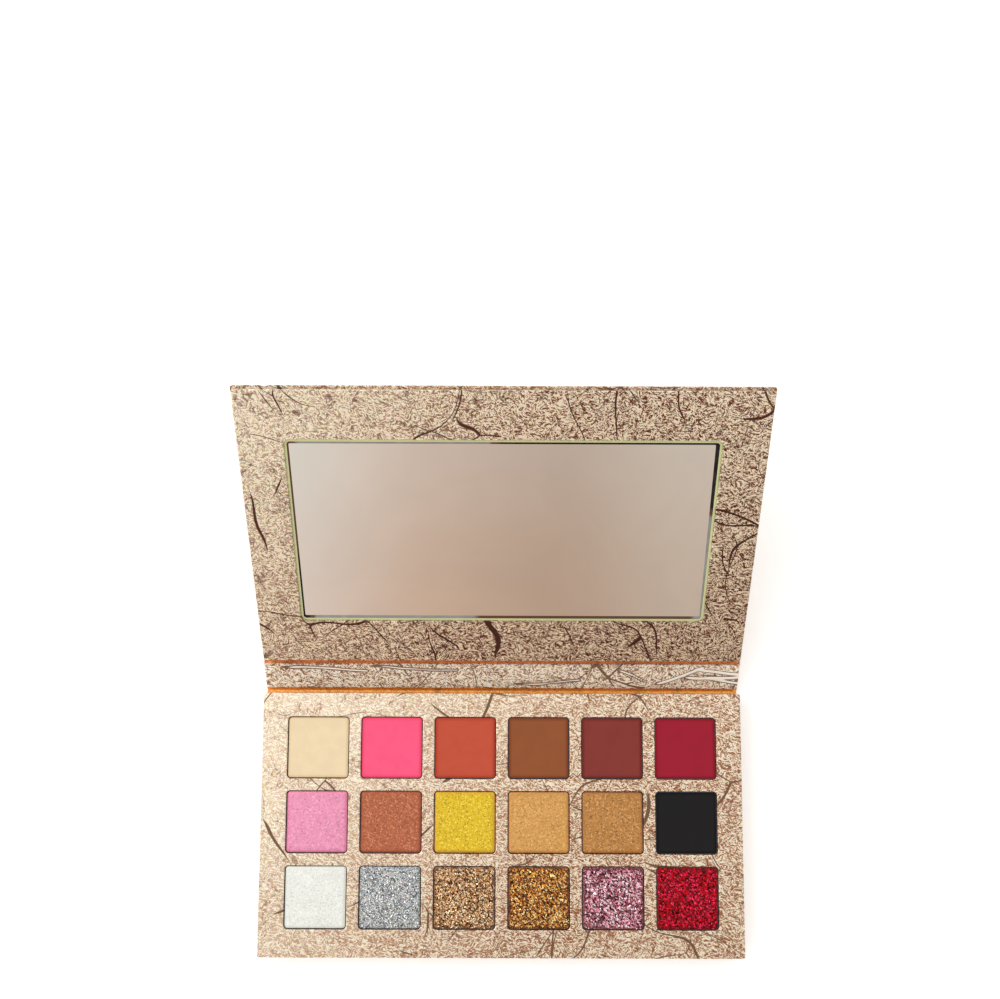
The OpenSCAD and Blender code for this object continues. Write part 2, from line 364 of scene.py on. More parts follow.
def level_sheet(bm, low, high, level):
    """Level rectangle between two corners."""
    made = bmesh.ops.create_grid(bm, x_segments=1, y_segments=1, size=0.5)
    bmesh.ops.scale(bm, vec=(high.x - low.x, high.y - low.y, 1), verts=made["verts"])
    bmesh.ops.translate(bm, vec=((low.x + high.x) / 2, (low.y + high.y) / 2, level), verts=made["verts"])


def face_up(bm):
    """Turns an open sheet's faces the same way, looking up."""
    bmesh.ops.recalc_face_normals(bm, faces=bm.faces)
    if sum(f.normal.z * f.calc_area() for f in bm.faces) < 0:
        bmesh.ops.reverse_faces(bm, faces=bm.faces)


def cut_across(bm, axis, at):
    """Cuts a shape square to X (axis 0) or to Y (axis 1)."""
    point = [0, 0, 0]
    point[axis] = at
    bmesh.ops.bisect_plane(bm, geom=bm.verts[:] + bm.edges[:] + bm.faces[:], dist=1e-7,
                           plane_co=point, plane_no=(1, 0, 0) if axis == 0 else (0, 1, 0))


def cut_up(bm, low, high, columns, rows):
    """Cuts a shape into columns along X and rows along Y."""
    for axis, count in ((0, columns), (1, rows)):
        for step in range(1, count):
            cut_across(bm, axis, low[axis] + (high[axis] - low[axis]) * step / count)


def round_edges(bm, edges, radius, segments):
    bmesh.ops.bevel(
        bm, geom=edges, offset=radius, offset_type="OFFSET", affect="EDGES",
        segments=segments, profile=0.5, material=-1, clamp_overlap=True,
    )


# --- Finishes ---

def wandering(m, scale, amount, detail=0.0, vector=None):
    """Coordinates pushed about by soft noise, so that the lines drawn on them wander."""
    swing = m.vector("SUBTRACT", m.noise(scale, detail=detail, colour=True, vector=vector), MID_GREY)
    return m.vector("ADD", m.coords, m.vector("SCALE", swing, scale=amount))


def embossed_strokes(m, grain):
    """Dense hair-like strokes, whose direction changes from patch to patch."""
    bent = wandering(m, 190, 4.5 * MM, detail=1.0)
    stroke = None
    for turn, shift, length, scale in STROKE_LAYERS:
        place = m.mapped(location=(shift, shift, 0), turn=(0, 0, turn), scale=(1.0, length, 2.0), vector=bent)
        hair = m.noise(scale * grain, detail=1.0, vector=place, roughness=0.35)
        if stroke is None:
            stroke = hair
            continue
        region = m.span(m.noise(270, detail=0.0, vector=m.mapped(location=(shift, 0.5, shift))), 0.46, 0.52)
        stroke = m.blend_value(region, stroke, hair)
    speck = m.noise(2300 * grain, detail=0.0)
    return m.plus(stroke, m.times(m.minus(speck, 0.5), 0.55))


def curled_hairs(m):
    """Fine curled hairs in patches."""
    curl = m.math("ABSOLUTE", m.minus(m.noise(290, detail=1.0, distortion=0.8), 0.5))
    return m.times(m.span(curl, 0.012, 0.030, 1.0, 0.0), m.span(m.noise(150, detail=0.0), 0.45, 0.58))


def long_wrinkles(m):
    """Long wrinkles along the borders of large cells, more of them towards the right."""
    east = m.times(m.part(m.coords, 0), 0.5)
    wrinkle = None
    for index, (scale, width, turn, low) in enumerate(WRINKLE_SETS):
        swung = wandering(m, 38, 24 * MM, vector=m.mapped(location=(0.37 * index, 0.2, 0.5)))
        place = m.mapped(location=(0.61 * index, 0.17 * index, 0.3), turn=(0, 0, turn), scale=(1.0, 2.2, 1.5),
                         vector=swung)
        reach = m.cells(scale, vector=place, output="Distance", feature="DISTANCE_TO_EDGE", flat=True)
        where = m.noise(46, detail=0.5, vector=m.mapped(location=(0.9 * index + 0.2, 0.4, 0.6)))
        share = m.span(m.plus(where, east), low, low + 0.16)
        half = m.times(share, width * MM * scale)
        inside = m.minus(m.minus(half, 0.05 * MM * scale), reach)
        line = m.math("DIVIDE", inside, 0.14 * MM * scale, clamp=True)
        wrinkle = line if wrinkle is None else m.math("MAXIMUM", wrinkle, line)
    return wrinkle


def foil_paper(name, light, middle, dark, wrinkle_shade, roughness=0.36, metal=0.65, strokes=1.0, wrinkles=1.0,
               fade=None, calm=None, grain=1.25, soft=0.155, fold=False):
    """Embossed metallic paper: dense hair-like strokes, fine curled hairs and a few long wrinkles, drawn in
    painted highlight and painted shade.

    fade: painted shade: the direction in which the paper grows darker, per metre, where that starts, and the
    tone that is left at its end.
    calm: a painted sheen, paler paper with fainter dark strokes towards the back left: where, towards the
    front right, the strokes are faintest and where they are full, and the share that is left of them at the
    faintest.
    soft: how wide and soft the strokes are. fold: whether the piece has a fold attribute, from which painted
    shade beside the folds and a painted highlight on their crests are drawn.
    """
    m = Finish(name, Metallic=metal, Roughness=roughness)
    stroke = embossed_strokes(m, grain)
    low_side = m.span(stroke, 0.41, 0.34 + soft, 1.0, 0.0)
    high_side = m.span(stroke, 0.665 - soft, 0.575)
    # Painted sheen: towards the back left the paper is paler and its dark strokes fainter.
    if calm:
        start, full, least = calm
        across = m.vector("DOT_PRODUCT", m.coords, (1.0, -0.6, 0.0))
        low_side = m.times(low_side, m.span(across, start, full, least, 1.0))
        middle = m.mix(m.span(across, start, full, 0.5, 0.0), middle, light)
    wrinkle = long_wrinkles(m)
    cloud = m.noise(60, detail=2.0)
    colour = m.mix(1.0, middle, m.span(cloud, 0.35, 0.65, 1.0, 0.91), "MULTIPLY")
    # Painted highlight on the strokes' high side, and painted shade on their low side and along the curled
    # hairs.
    colour = m.mix(m.times(high_side, strokes), colour, light)
    colour = m.mix(m.times(low_side, strokes), colour, dark)
    colour = m.mix(m.times(curled_hairs(m), 0.7), colour, dark)
    # The wrinkles are real and have their own bump; their dark tone is painted shade.
    colour = m.mix(m.times(wrinkle, wrinkles), colour, wrinkle_shade)
    if fold:
        # Painted shade beside each fold and a painted highlight along its crest.
        crest = m.attribute("fold")
        colour = m.mix(m.times(m.span(crest, 0.05, 0.16), 0.9), colour, toned(dark, 0.7))
        colour = m.mix(m.span(crest, 0.36, 0.50), colour, (1.0, 0.97, 0.87))
    colour = m.mix(0.6, colour, m.noise(2600, detail=0.0, colour=True), "OVERLAY")
    # Painted shade: the paper grows darker across the piece, its bright strokes less than the rest.
    if fade:
        (down_x, down_y, start), left = fade
        along = m.plus(m.vector("DOT_PRODUCT", m.coords, (down_x, down_y, 0.0)), start)
        shade = m.mix(m.span(along, 0.0, 1.0, smooth=False), WHITE, left)
        colour = m.mix(m.span(high_side, 0.0, 1.0, 1.0, 0.4), colour, shade, "MULTIPLY")
    m.set("Base Color", colour)
    m.set("Roughness", m.span(low_side, 0.0, 1.0, roughness - 0.05, roughness + 0.12, smooth=False))
    m.bump(m.minus(m.minus(high_side, low_side), m.times(wrinkle, 3.0)), 0.022 * MM)
    return m.material


def matte_powder(name, colour):
    """Pressed matte pigment: fine grain, faint mottling and a deeper colour on the shoulder."""
    m = Finish(name, Roughness=0.86, Specular_IOR_Level=0.25)
    grain = m.noise(5200, detail=2.0)
    mottle = m.noise(170, detail=3.0)
    tone = m.mix(m.span(mottle, 0.35, 0.65, 0.0, 0.5), toned(colour, 1.04), toned(colour, 0.93))
    tone = m.mix(m.span(grain, 0.4, 0.6, 0.0, 0.3), tone, toned(colour, 0.86))
    shoulder = m.attribute("shoulder")
    m.set("Base Color", m.mix(shoulder, tone, tuple(c ** 1.25 for c in colour)))
    m.bump(m.plus(m.times(grain, 0.35), mottle), 0.06 * MM, 0.6)
    return m.material


def shimmer_powder(name, colour, contrast, metal, deep, edge):
    """Pressed pearl pigment: a satin sheen broken into clumps and tiny flakes, the palest of them a painted
    glint.

    deep is the tone of its darkest clumps, and edge the colour of its shoulder.
    """
    m = Finish(name, Metallic=metal, Roughness=0.42)
    flake = m.part(m.cells(2100), 0)
    clump = m.noise(1150, detail=2.0, distortion=0.5)
    mottle = m.noise(200, detail=2.0, distortion=0.6)
    tone = m.mix(m.span(mottle, 0.35, 0.65, 0.0, 0.5), toned(colour, 1.04), toned(colour, 0.92))
    tone = m.mix(m.span(clump, 0.40, 0.30, 0.0, 0.55 * contrast), tone, toned(colour, deep))
    pale = tuple(0.9 * c + 0.1 for c in toned(colour, 1.5))
    tone = m.mix(m.span(clump, 0.60, 0.70, 0.0, 0.6 * contrast), tone, pale)
    # Painted glint: the palest tiny flakes.
    tone = m.mix(m.span(flake, 0.80, 1.0, 0.0, 0.7 * contrast), tone, pale)
    tone = m.mix(m.span(flake, 0.20, 0.0, 0.0, 0.6 * contrast), tone, toned(colour, deep))
    shoulder = m.attribute("shoulder")
    rim = edge or tuple(c ** 1.3 for c in colour)
    m.set("Base Color", m.mix(m.times(shoulder, 0.8), tone, rim))
    m.bump(m.plus(m.times(flake, 0.5), clump), 0.05 * MM, 0.7)
    return m.material


def glitter_bed(name, dark, colour):
    """Binder that glitter flakes are pressed into, painted dark as the shade between the flakes."""
    m = Finish(name, Metallic=0.6, Roughness=0.45)
    n = m.noise(1300, detail=2.0, distortion=1.5)
    m.set("Base Color", m.mix(m.span(n, 0.38, 0.62), dark, toned(colour, 0.7)))
    m.bump(n, 0.1 * MM, 0.8)
    return m.material


def glitter_flake(name, dark, colour, bright, spark, rainbow=0.0):
    """Foil flakes, each with its own hue, and a tone from painted shade up to painted glint, from the piece's
    own attributes.
    """
    m = Finish(name, Metallic=0.9, Roughness=0.25)
    tone = m.attribute("flake_tone")
    # Painted shade on the dark flakes, and painted glints on the bright and spark ones.
    shade = m.mix(m.span(tone, 0.22, 0.42), dark, colour)
    shade = m.mix(m.span(tone, 0.46, 0.62), shade, bright)
    shade = m.mix(m.span(tone, 0.70, 0.82), shade, spark)
    if rainbow:
        shade = m.mix(rainbow, shade, m.attribute("flake_hue", "Color"), "OVERLAY")
    m.set("Base Color", shade)
    scratch = m.noise(9000, detail=1.0)
    m.set("Roughness", m.span(scratch, 0.3, 0.7, 0.18, 0.36, smooth=False))
    return m.material


def silvered_glass(name):
    """Mirror glass with the faintest smears on it."""
    m = Finish(name, Metallic=1.0, Roughness=0.02)
    smear = m.noise(28, detail=3.0, distortion=1.0)
    m.set("Base Color", m.mix(m.span(smear, 0.3, 0.7), (0.90, 0.90, 0.89), (0.94, 0.94, 0.93)))
    m.set("Roughness", m.span(smear, 0.35, 0.75, 0.012, 0.03))
    return m.material


def edge_highlight(name):
    """Pale yellow-green line round the glass, inside the frame's opening: a painted highlight."""
    m = Finish(name, Metallic=0.2, Roughness=0.18)
    cloud = m.noise(60, detail=1.0)
    m.set("Base Color", m.mix(cloud, srgb(232, 230, 174), srgb(200, 218, 166)))
    return m.material


def edge_band(name):
    """Painted reflection of the frame's wall and the dark surroundings, in a band round the glass: black,
    brown or blue-grey along its length.
    """
    m = Finish(name, Metallic=0.4, Roughness=0.12)
    tone = m.attribute("backing")
    cloud = m.noise(300, detail=1.0)
    shade = m.mix(m.span(tone, 0.15, 0.45), srgb(20, 18, 28), srgb(104, 70, 54))
    shade = m.mix(m.span(tone, 0.6, 0.9), shade, srgb(158, 164, 162))
    m.set("Base Color", m.mix(m.span(cloud, 0.3, 0.7, 0.0, 0.2), shade, srgb(90, 84, 80)))
    return m.material


def grey_board(name):
    """Raw recycled board: fibrous and mottled."""
    m = Finish(name, Roughness=0.93)
    fibre = m.noise(900, detail=3.0, distortion=0.8, vector=m.mapped(scale=(1.0, 2.5, 0.4)))
    speck = m.span(m.noise(1500, detail=1.0), 0.62, 0.72)
    colour = m.mix(m.span(fibre, 0.3, 0.7), srgb(150, 144, 134), srgb(126, 120, 111))
    m.set("Base Color", m.mix(m.times(speck, 0.6), colour, srgb(92, 86, 80)))
    m.bump(fibre, 0.15 * MM, 0.6)
    return m.material


def tin_plate(name):
    """Drawn tin plate with a rolled grain, painted dark for the shade round the pans' rims."""
    m = Finish(name, Metallic=1.0, Roughness=0.3)
    grain = m.noise(2400, detail=2.0, vector=m.mapped(scale=(1.0, 12.0, 1.0)))
    # Painted shade: the tin is darkened so that the pans' rims read as a dark line.
    m.set("Base Color", m.mix(grain, srgb(78, 80, 92), srgb(112, 114, 124)))
    m.set("Roughness", m.span(grain, 0.3, 0.7, 0.24, 0.4))
    m.bump(grain, 0.02 * MM, 0.5)
    return m.material


def nickel_plate(name):
    """Bright plating on the magnets."""
    m = Finish(name, Metallic=1.0, Roughness=0.2)
    cloud = m.noise(420, detail=3.0)
    m.set("Base Color", m.mix(cloud, srgb(176, 178, 180), srgb(212, 210, 204)))
    m.set("Roughness", m.span(cloud, 0.3, 0.7, 0.14, 0.3))
    return m.material


def clear_adhesive(name):
    """Translucent double-sided film."""
    m = Finish(name, Roughness=0.35)
    cloud = m.noise(300, detail=2.0)
    m.set("Base Color", m.mix(cloud, srgb(228, 222, 206), srgb(214, 206, 188)))
    m.bump(cloud, 0.05 * MM, 0.4)
    return m.material


# --- Sizes and colours that a user may change ---

class PaletteSizes(bpy.types.PropertyGroup):
    """Sizes of the papered edges and the powder surfaces."""

    paper: FloatProperty(
        name="Paper thickness", description="Thickness of the foil paper",
        default=0.2 * MM, min=0.05 * MM, max=0.4 * MM, unit="LENGTH", precision=5)
    fold_radius: FloatProperty(
        name="Fold radius", description="Radius where the paper turns over a board's edge",
        default=0.42 * MM, min=0.1 * MM, max=0.8 * MM, unit="LENGTH", precision=5)
    cover_corner: FloatProperty(
        name="Cover corner", description="Radius of the cover boards' corners",
        default=1.0 * MM, min=0.3 * MM, max=3 * MM, unit="LENGTH", precision=5)
    opening_corner: FloatProperty(
        name="Opening corner", description="Radius of a pan opening's corners",
        default=1.7 * MM, min=0.5 * MM, max=4 * MM, unit="LENGTH", precision=5)
    opening_gap: FloatProperty(
        name="Opening gap", description="Gap between a pan and its opening",
        default=0.3 * MM, min=0.1 * MM, max=0.8 * MM, unit="LENGTH", precision=5)
    mirror_corner: FloatProperty(
        name="Mirror corner", description="Radius of the mirror opening's corners",
        default=2.3 * MM, min=0.5 * MM, max=6 * MM, unit="LENGTH", precision=5)
    pan_wall: FloatProperty(
        name="Pan wall", description="Thickness of a pan's sheet metal",
        default=0.3 * MM, min=0.1 * MM, max=0.6 * MM, unit="LENGTH", precision=5)
    rim_shown: FloatProperty(
        name="Rim shown", description="Width of a pan's rim that the powder leaves bare",
        default=0.12 * MM, min=0.0, max=0.3 * MM, unit="LENGTH", precision=5)
    shoulder: FloatProperty(
        name="Shoulder width", description="Width of the powder's rounded edge",
        default=1.3 * MM, min=0.3 * MM, max=3 * MM, unit="LENGTH", precision=5)
    shoulder_drop: FloatProperty(
        name="Shoulder drop", description="How far the powder's edge lies below its top",
        default=0.38 * MM, min=0.1 * MM, max=0.45 * MM, unit="LENGTH", precision=5)
    flake_share: FloatProperty(
        name="Flake share", description="Share of the usual number of glitter flakes",
        default=1.0, min=0.1, max=2.0, subtype="FACTOR")


class PaletteColours(bpy.types.PropertyGroup):
    """Colours of the paper and the powders."""

    # foil_light and foil_dark are the painted highlight and painted shade of the foil's embossed strokes, and
    # lid_dark the painted shade of the foil round the mirror.
    foil_light: FloatVectorProperty(
        name="Foil, light", description="Bright strokes of the foil paper",
        subtype="COLOR", size=3, min=0, max=1, default=srgb(253, 246, 223))
    foil_middle: FloatVectorProperty(
        name="Foil, middle", description="Ground tone of the foil paper",
        subtype="COLOR", size=3, min=0, max=1, default=srgb(235, 195, 160))
    foil_dark: FloatVectorProperty(
        name="Foil, dark", description="Shaded strokes of the foil paper",
        subtype="COLOR", size=3, min=0, max=1, default=srgb(154, 101, 70))
    # Painted shade along the long wrinkles.
    foil_wrinkle_shade: FloatVectorProperty(
        name="Foil, wrinkle", description="Tone of the long wrinkles",
        subtype="COLOR", size=3, min=0, max=1, default=srgb(122, 92, 68))
    lid_dark: FloatVectorProperty(
        name="Lid foil, dark", description="Shaded strokes of the foil paper round the mirror",
        subtype="COLOR", size=3, min=0, max=1, default=srgb(94, 48, 30))
    # base_crease and lid_crease are painted shade in the hinge grooves, warmed by painted bounce light.
    base_crease: FloatVectorProperty(
        name="Base crease", description="Tone of the paper in the crease beside the tray",
        subtype="COLOR", size=3, min=0, max=1, default=srgb(255, 173, 88))
    lid_crease: FloatVectorProperty(
        name="Lid crease", description="Tone of the paper in the crease beside the lid",
        subtype="COLOR", size=3, min=0, max=1, default=srgb(218, 132, 78))


for shade_name, shade_finish, shade_colour in SHADES:
    PaletteColours.__annotations__[shade_name] = FloatVectorProperty(
        name=shade_name.replace("_", " ").capitalize(),
        description=f"Colour of the {shade_finish} powder",
        subtype="COLOR", size=3, min=0, max=1, default=srgb(*shade_colour))


def sizes():
    return bpy.context.scene.palette_sizes


def colours():
    return bpy.context.scene.palette_colours


def shared(name, make, *values, **options):
    """The material of that name, made once."""
    return bpy.data.materials.get(name) or make(name, *values, **options)


def cover_foil():
    """Foil on the outside of the covers."""
    c = colours()
    return shared("crackle_foil", foil_paper, toned(c.foil_light, 0.92), toned(c.foil_middle, 0.82),
                  toned(c.foil_dark, 0.82), toned(c.foil_wrinkle_shade, 0.8))


def tray_foil():
    """Foil on the tray, duller towards the front right: painted shade grows towards the front, and a painted
    sheen lies towards the back left.
    """
    c = colours()
    return shared("crackle_foil_tray", foil_paper, tuple(c.foil_light), tuple(c.foil_middle),
                  tuple(c.foil_dark), tuple(c.foil_wrinkle_shade), fade=((-0.8, -3.2, 0.52), (0.80, 0.79, 0.80)),
                  calm=(-0.12, 0.06, 0.22))


def lid_foil():
    """Foil round the mirror, where the strokes stand out more: its darker tones and its fade towards the
    hinge and the right are painted shade, with a painted sheen at the left.
    """
    c = colours()
    return shared("crackle_foil_lid", foil_paper, tuple(c.foil_light), toned(c.foil_middle, 0.93),
                  tuple(c.lid_dark), toned(c.lid_dark, 0.7), fade=((1.0, -8.9, 1.43), (0.55, 0.40, 0.31)),
                  calm=(-0.20, -0.06, 0.5), grain=1.35, soft=0.165)


def spine_foil():
    """Foil on the spine, which catches more light."""
    c = colours()
    return shared("crackle_foil_spine", foil_paper, (1.0, 0.99, 0.91), srgb(255, 229, 194),
                  toned(c.foil_dark, 0.7), tuple(c.foil_wrinkle_shade), roughness=0.5, metal=0.1,
                  soft=0.122, fold=True)


def crease_foil(name, tone):
    """Foil stretched in a hinge groove, in a tone of painted shade warmed by painted bounce light."""
    return shared(name, foil_paper, toned(tone, 1.35), tone, toned(tone, 0.5), toned(tone, 0.4),
                  roughness=0.45, strokes=0.55, wrinkles=0.3)


# --- Pieces ---

def pan_boxes():
    """Shade, finish and the pan's lowest and highest corner."""
    return [(name, kind, *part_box(f"pan_{name}")) for name, kind, _ in SHADES]


def spine_relief(x, y):
    """Height of the folds at a point of the spine."""
    height = 0.012 * MM * noise.noise(Vector((x * 160, y * 600, 5.0)))
    for start, end, y_start, y_end, rise in SPINE_FOLDS:
        t = (x / MM - start) / (end - start)
        if 0 < t < 1.02:
            bend = 1.1 * math.sin(t * 2.6 + start) + 0.5 * noise.noise(Vector((x * 90, rise * 50, 0)))
            away = y / MM - (y_start + (y_end - y_start) * t + bend)
            height += rise * MM * math.exp(-((away / 0.6) ** 2)) * min(1.0, 5 * t)
    return height


def papered(name, bm, nodes, place, body, finish):
    """Makes a sheet of foil paper, which stands for its nodes on their body."""
    piece = finish_mesh(name, bm, place)
    crisp(piece)
    paper_shell(piece, sizes().paper)
    piece.data.materials.append(finish)
    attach(piece, body)
    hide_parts(*nodes)


def papered_board(name, nodes, place, body, finish, round_side, relief=None):
    """Board wrapped in paper with folded edges.

    round_side is the side whose corners are rounded: -1 front, 1 back, 0 neither.
    """
    boxes = [local_box(node, place) for node in nodes]
    low = Vector([min(b[0][i] for b in boxes) for i in range(3)])
    high = Vector([max(b[1][i] for b in boxes) for i in range(3)])
    bm = bmesh.new()
    block(bm, low, high)
    free = [e for e in upright_edges(bm) if e.verts[0].co.y * round_side > (low.y + high.y) / 2 * round_side]
    if free:
        round_edges(bm, free, sizes().cover_corner, 4)
    level = [e for e in bm.edges if not is_upright(e)]
    round_edges(bm, level, sizes().fold_radius, 3)
    if relief:
        cut_up(bm, low, high, 190, 56)
        fold = bm.verts.layers.float.new("fold")
        for vert in bm.verts:
            if vert.co.z > high.z - 1e-6:
                rise = relief(vert.co.x, vert.co.y)
                vert.co.z += rise
                vert[fold] = rise / FOLD_RISE
    bmesh.ops.recalc_face_normals(bm, faces=bm.faces)
    papered(name, bm, nodes, place, body, finish)


def papered_face(name, node, place, body, openings, corner, depth, finish):
    """Paper over a board's face and sides, folded down into its openings."""
    low, high = local_box(node, place)
    bm = bmesh.new()
    level_sheet(bm, low, high, high.z)
    for axis in (0, 1):
        for cut in sorted({round(o[end][axis], 6) for o in openings for end in (0, 1)}):
            cut_across(bm, axis, cut)
    outline = [e for e in bm.edges if e.is_boundary]
    wells = [f for f in bm.faces if inside_any(f.calc_center_median(), openings)]
    for face in wells:
        floor = new_verts(bmesh.ops.extrude_face_region(bm, geom=[face]))
        bmesh.ops.translate(bm, vec=(0, 0, -depth), verts=floor)
    bmesh.ops.delete(bm, geom=[f for f in wells if f.is_valid], context="FACES")
    skirt = new_verts(bmesh.ops.extrude_edge_only(bm, edges=[e for e in outline if e.is_valid]))
    bmesh.ops.translate(bm, vec=(0, 0, low.z - high.z), verts=skirt)
    outer = set(skirt)
    well_corners = [e for e in upright_edges(bm) if not (outer & set(e.verts))]
    board_corners = [e for e in upright_edges(bm) if (outer & set(e.verts)) and is_corner(e, low, high)]
    round_edges(bm, well_corners, corner, 6)
    round_edges(bm, [e for e in board_corners if e.is_valid], TRAY_CORNER, 4)
    floors = [f for f in bm.faces
              if abs(f.normal.z) > 0.9 and f.calc_center_median().z < high.z - 0.9 * depth]
    bmesh.ops.delete(bm, geom=floors, context="FACES")
    rim = [e for e in bm.edges if len(e.link_faces) == 2
           and all(abs(v.co.z - high.z) < 1e-7 for v in e.verts)
           and sum(abs(f.normal.z) > 0.9 for f in e.link_faces) == 1]
    round_edges(bm, rim, sizes().fold_radius, 3)
    bmesh.ops.remove_doubles(bm, verts=bm.verts, dist=1e-6)
    face_up(bm)
    papered(name, bm, [node], place, body, finish)


def inside_any(point, openings):
    return any(o[0].x < point.x < o[1].x and o[0].y < point.y < o[1].y for o in openings)


def is_corner(edge, low, high):
    x, y = edge.verts[0].co.x, edge.verts[0].co.y
    return min(abs(x - low.x), abs(x - high.x)) < 1e-6 and min(abs(y - low.y), abs(y - high.y)) < 1e-6


def hinge_paper(name, node, joint, slopes, reach, finish):
    """Papers pinched together in the groove between two boards, bending from one slope to the other."""
    hinge = joint_place(joint)
    half_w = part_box("base_wrap")[1].x - 0.05 * MM
    bm = bmesh.new()
    low, high = Vector((-half_w, 0, -1)), Vector((half_w, 1, 1))
    block(bm, low, high)
    cut_up(bm, low, high, 90, 14)
    for face in bm.faces:
        face.material_index = 1 if face.calc_center_median().z < 0.5 else 0
    for vert in bm.verts:
        t = vert.co.y
        # thin in the middle of the groove, and thicker towards the two boards
        pinch = abs(2 * t - 1) ** 1.7
        half_t = 0.2 * MM + 0.55 * MM * pinch
        wave = noise.noise(Vector((vert.co.x * 90, t * 2, 3.1))) * 0.06 * MM * (1 - pinch)
        turn = slopes[0] + (slopes[1] - slopes[0]) * t * t * (3 - 2 * t)
        along = reach * (2 * t - 1)
        spot = Vector((vert.co.x, along, vert.co.z * half_t + wave))
        vert.co = hinge + Matrix.Rotation(turn, 3, "X") @ spot
    bmesh.ops.translate(bm, vec=(-hinge.x, 0, 0), verts=bm.verts)
    bmesh.ops.recalc_face_normals(bm, faces=bm.faces)
    piece = finish_mesh(name, bm)
    crisp(piece, 50)
    piece.data.materials.append(finish)
    piece.data.materials.append(cover_foil())
    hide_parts(node)
    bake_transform(piece)


def corner_rounded(x, y, half_x, half_y, radius):
    """Moves a point of a square sheet's corner on to a round corner."""
    over_x, over_y = abs(x) - (half_x - radius), abs(y) - (half_y - radius)
    if over_x <= 0 or over_y <= 0:
        return x, y
    shrink = max(over_x, over_y) / math.hypot(over_x, over_y)
    return (math.copysign(half_x - radius + over_x * shrink, x),
            math.copysign(half_y - radius + over_y * shrink, y))


def edge_distance(x, y, half_x, half_y, radius):
    """Distance from a point to the outline of a rectangle with round corners."""
    over_x, over_y = abs(x) - (half_x - radius), abs(y) - (half_y - radius)
    if over_x > 0 and over_y > 0:
        return radius - math.hypot(over_x, over_y)
    return min(half_x - abs(x), half_y - abs(y))


def powder_cake(shade, low, high, relief, seed, grid=56):
    """Pressed powder in its pan: a level top with a rounded shoulder and its own relief."""
    s = sizes()
    half_x = (high.x - low.x) / 2 - s.rim_shown
    half_y = (high.y - low.y) / 2 - s.rim_shown
    centre = (low + high) / 2
    radius = POWDER_CORNER
    top = high.z + s.shoulder_drop
    bm = bmesh.new()
    made = bmesh.ops.create_grid(bm, x_segments=grid, y_segments=grid, size=1.0)
    for vert in made["verts"]:
        # closer rows of vertices near the edge, where the shoulder turns
        u = math.copysign(1 - (1 - abs(vert.co.x)) ** 1.35, vert.co.x)
        v = math.copysign(1 - (1 - abs(vert.co.y)) ** 1.35, vert.co.y)
        x, y = corner_rounded(u * half_x, v * half_y, half_x, half_y, radius)
        inward = max(edge_distance(x, y, half_x, half_y, radius), 0.0)
        rise = min(inward / s.shoulder, 1.0)
        z = top - s.shoulder_drop * (1 - math.sin(rise * math.pi / 2)) ** 1.3
        z += 0.02 * MM + relief(x, y, seed) * min(inward / (0.9 * MM), 1.0)
        vert.co = Vector((centre.x + x, centre.y + y, z))
    inside = (half_x + s.rim_shown - s.pan_wall - 0.02 * MM) / half_x
    for level in (high.z + 0.01 * MM, low.z + s.pan_wall):
        rim = [e for e in bm.edges if e.is_boundary]
        for vert in new_verts(bmesh.ops.extrude_edge_only(bm, edges=rim)):
            vert.co = Vector((centre.x + (vert.co.x - centre.x) * inside,
                              centre.y + (vert.co.y - centre.y) * inside, level))
        inside = 1.0
    bmesh.ops.holes_fill(bm, edges=[e for e in bm.edges if e.is_boundary], sides=0)
    bmesh.ops.recalc_face_normals(bm, faces=bm.faces)
    layer = bm.verts.layers.float.new("shoulder")
    for vert in bm.verts:
        x, y = vert.co.x - centre.x, vert.co.y - centre.y
        inward = max(edge_distance(x, y, half_x, half_y, radius), 0.0)
        vert[layer] = max(0.0, 1 - inward / (1.15 * s.shoulder)) ** 0.8
    piece = finish_mesh(f"cake_{shade}", bm)
    piece.data.set_sharp_from_angle(angle=math.radians(60))
    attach(piece, "base")
    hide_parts(f"powder_{shade}")
    return piece


def smooth_relief(x, y, seed):
    return 0.02 * MM * noise.noise(Vector((x * 260, y * 260, seed * 1.7)))


def satin_relief(x, y, seed):
    coarse = noise.noise(Vector((x * 420, y * 420, seed * 1.7)))
    fine = noise.noise(Vector((x * 1300, y * 1300, seed * 2.3)))
    return (0.035 * coarse + 0.02 * fine) * MM


def rayed_relief(x, y, seed):
    """Faint rays spreading from below the middle, as a press leaves in soft powder."""
    angle = math.atan2(y + 1.5 * MM, x - 1.0 * MM)
    reach = math.hypot(x - 1.0 * MM, y + 1.5 * MM)
    ray = noise.noise(Vector((angle * 9, reach * 140, seed)))
    return satin_relief(x, y, seed) + 0.05 * MM * ray * math.exp(-((reach / (9 * MM)) ** 2))


def bed_relief(x, y, seed):
    return 0.07 * MM * noise.noise(Vector((x * 900, y * 900, seed * 1.7))) - 0.1 * MM


def reflection_tone(across, along):
    """Tone of the painted reflection, 0 black, 0.5 brown or 1 blue-grey, for a place on the glass's outline,
    as shares of its sides.
    """
    if across < 0.04:
        return 0.0 if along < 0.4 else 0.5
    if across > 0.96:
        return 0.0 if along > 0.62 else 1.0
    if along < 0.5:
        return 1.0 if across < 0.45 else 0.45
    return 1.0 if across < 0.5 else 0.1


def mirror_opening():
    """Lowest and highest corner of the part of the glass that the frame leaves free."""
    low, high = local_box("mirror", LID_PLACE)
    return low + MIRROR_LAP, high - MIRROR_LAP


